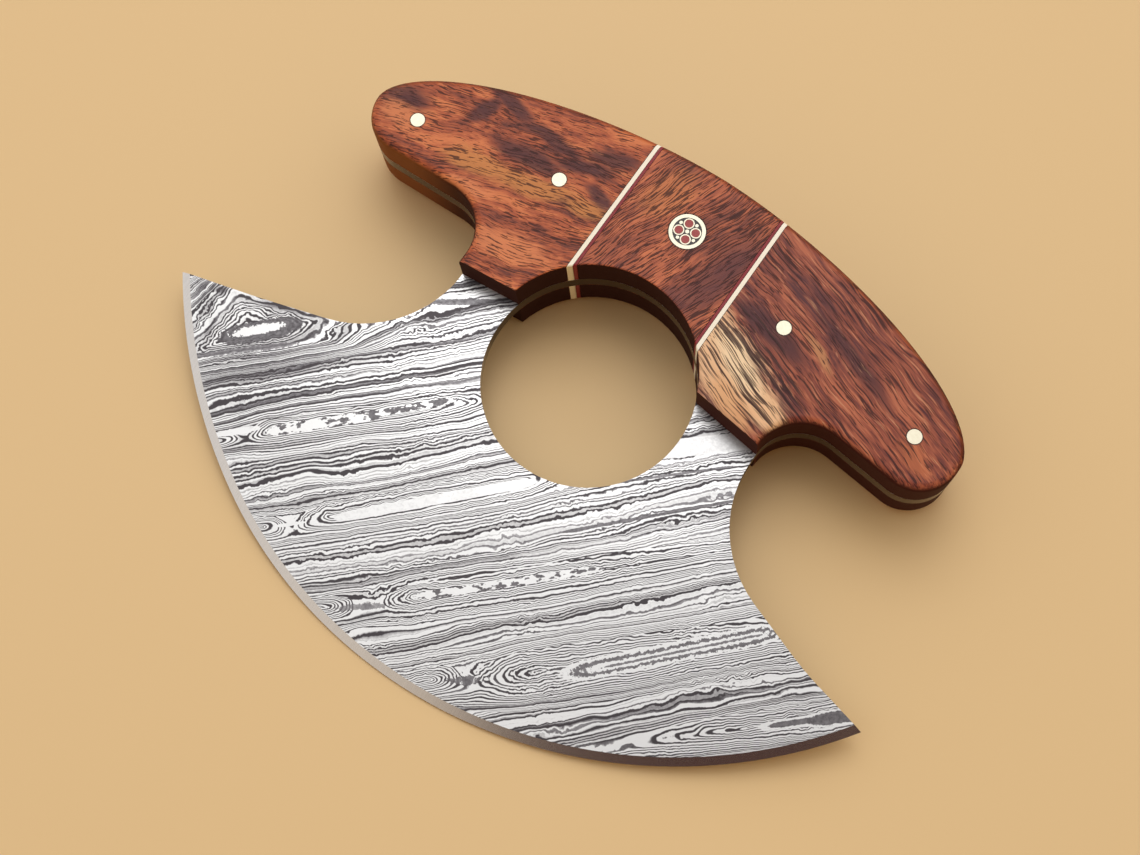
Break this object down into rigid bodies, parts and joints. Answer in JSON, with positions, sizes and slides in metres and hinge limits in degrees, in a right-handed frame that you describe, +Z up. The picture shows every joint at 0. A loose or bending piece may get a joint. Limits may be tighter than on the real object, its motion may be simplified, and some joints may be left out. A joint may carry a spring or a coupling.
{
  "type": "ulu knife",
  "caption": "Crescent ulu knife of patterned steel with a round finger hole and a pinned wooden handle, jointed with cream and red spacers around a mosaic pin.",
  "frame": {"origin": "on the surface that the knife rests on, under the middle of its outline", "axes": "+X along the handle, to the right as the front face is seen with the handle at the top; +Y from the cutting edge towards the handle's crown; +Z up, out of the front face, which leans 7.1 degrees towards -Y because the knife rests on its edge and the feet of its back scales"},
  "size_m": [0.1774, 0.1277, 0.0262],
  "materials": {
    "steel": "etched pattern-welded steel, fine dark and bright layers, polished bevel",
    "rosewood": "polished orange-red rosewood with dark purple figure",
    "red_hardwood": "polished red-brown hardwood with short dark pores",
    "striped_hardwood": "polished dark red-brown hardwood with a pale striped patch",
    "bone": "polished cream bone",
    "red_liner": "dark red fibre sheet, sanded flush",
    "brass": "polished pale brass",
    "red_resin": "polished red filler",
    "black_resin": "polished black resin"
  },
  "bodies": {
    "root": {"blade": "steel", "front_scale_left": "rosewood", "front_scale_centre": "red_hardwood", "front_scale_right": "striped_hardwood", "front_strip_left": "bone", "front_liner_left": "red_liner", "front_strip_right": "bone", "front_liner_right": "red_liner", "back_scale_left": "rosewood", "back_scale_centre": "red_hardwood", "back_scale_right": "striped_hardwood", "back_strip_left": "bone", "back_liner_left": "red_liner", "back_strip_right": "bone", "back_liner_right": "red_liner", "pin_outer_left": "brass", "pin_inner_left": "brass", "pin_inner_right": "brass", "pin_outer_right": "brass", "mosaic_sleeve": "brass", "mosaic_resin": "black_resin", "mosaic_tube_1": "brass", "mosaic_core_1": "red_resin", "mosaic_rod_1": "brass", "mosaic_tube_2": "brass", "mosaic_core_2": "red_resin", "mosaic_rod_2": "brass", "mosaic_tube_3": "brass", "mosaic_core_3": "red_resin", "mosaic_rod_3": "brass", "mosaic_tube_4": "brass", "mosaic_core_4": "red_resin", "mosaic_rod_4": "brass", "mosaic_centre_rod": "brass"}
  },
  "joints": []
}
